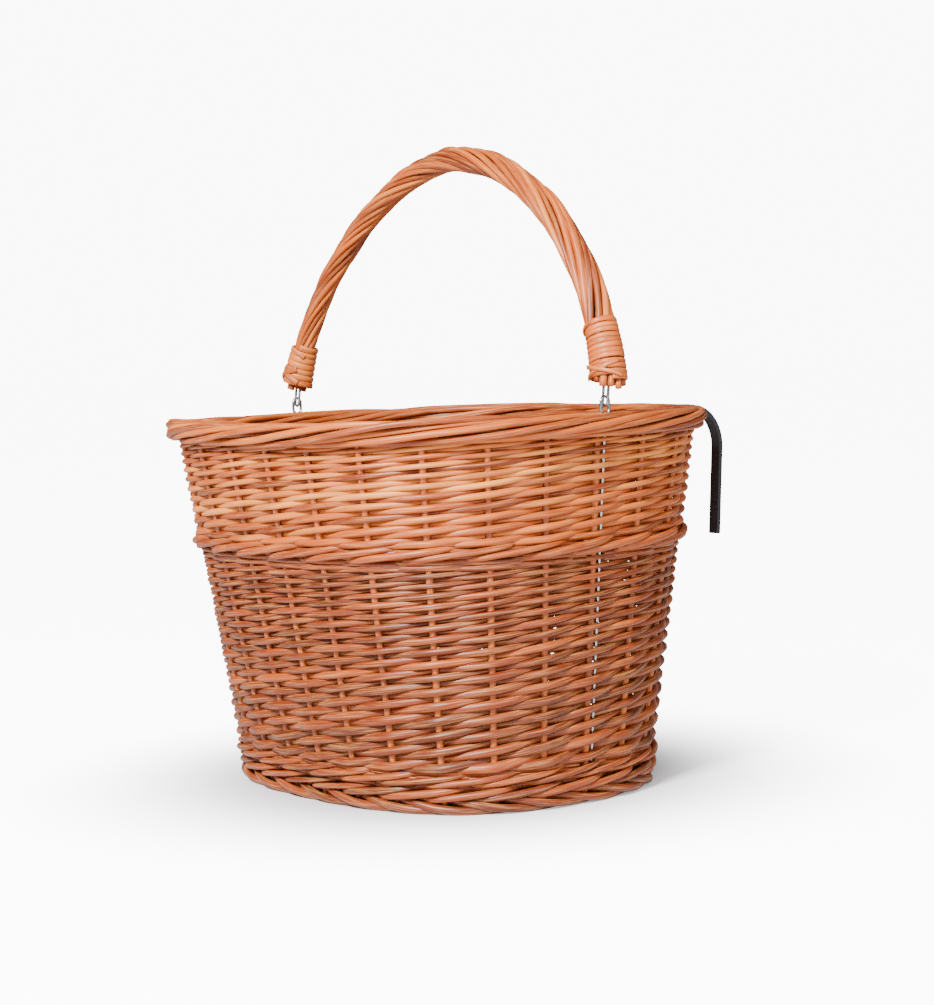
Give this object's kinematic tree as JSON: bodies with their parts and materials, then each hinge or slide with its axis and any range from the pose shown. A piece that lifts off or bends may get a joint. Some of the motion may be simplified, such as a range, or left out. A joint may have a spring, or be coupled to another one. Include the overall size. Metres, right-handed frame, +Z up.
{
  "type": "handlebar basket",
  "caption": "Woven willow basket with a swinging twisted-rod bow handle and two sleeved steel hooks for a bicycle handlebar.",
  "frame": {"origin": "under the middle of the whole object, on the surface its foot border rests on", "axes": "+Z up, +Y towards the handlebar side that the hooks hang on, +X to the right of someone who looks along +Y"},
  "size_m": [0.3592, 0.3503, 0.426],
  "materials": {
    "willow_weavers": "buff willow, peeled and boiled, satin",
    "willow_stakes": "buff willow, satin",
    "willow_borders": "buff willow, satin",
    "handle_rods": "buff willow, satin",
    "willow_skein": "split willow skein, satin",
    "galvanised_wire": "bright galvanised",
    "hook_steel": "mild steel strip",
    "hook_sleeve": "black heat-shrunk sleeve"
  },
  "bodies": {
    "basket": {"foot_border": "willow_borders", "upsett_wale": "willow_borders", "lower_weave": "willow_weavers", "middle_wale": "willow_borders", "upper_weave": "willow_weavers", "top_border": "willow_borders", "stake_01": "willow_stakes", "stake_02": "willow_stakes", "stake_03": "willow_stakes", "stake_04": "willow_stakes", "stake_05": "willow_stakes", "stake_06": "willow_stakes", "stake_07": "willow_stakes", "stake_08": "willow_stakes", "stake_09": "willow_stakes", "stake_10": "willow_stakes", "stake_11": "willow_stakes", "stake_12": "willow_stakes", "stake_13": "willow_stakes", "stake_14": "willow_stakes", "stake_15": "willow_stakes", "stake_16": "willow_stakes", "stake_17": "willow_stakes", "stake_18": "willow_stakes", "stake_19": "willow_stakes", "stake_20": "willow_stakes", "stake_21": "willow_stakes", "stake_22": "willow_stakes", "stake_23": "willow_stakes", "stake_24": "willow_stakes", "stake_25": "willow_stakes", "stake_26": "willow_stakes", "base_stick_1": "willow_stakes", "base_stick_2": "willow_stakes", "base_stick_3": "willow_stakes", "base_stick_4": "willow_stakes", "base_stick_5": "willow_stakes", "base_stick_6": "willow_stakes", "base_stick_7": "willow_stakes", "base_stick_8": "willow_stakes", "base_stick_9": "willow_stakes", "base_weave": "willow_weavers", "eye_wire_right": "galvanised_wire", "eye_wire_left": "galvanised_wire", "hook_strip_right": "hook_steel", "hook_strip_left": "hook_steel", "hook_sleeve_right": "hook_sleeve", "hook_sleeve_left": "hook_sleeve"},
    "handle": {"handle_core": "handle_rods", "handle_rope": "handle_rods", "handle_link_right": "galvanised_wire", "handle_link_left": "galvanised_wire", "handle_binding_right": "willow_skein", "handle_binding_left": "willow_skein"}
  },
  "joints": [
    {"name": "handle_swing", "type": "hinge", "parent": "basket", "child": "handle", "pos_m": [0, -0.0058, 0.2522], "axis": [1, 0, 0], "range_deg": [-57, 70]}
  ]
}
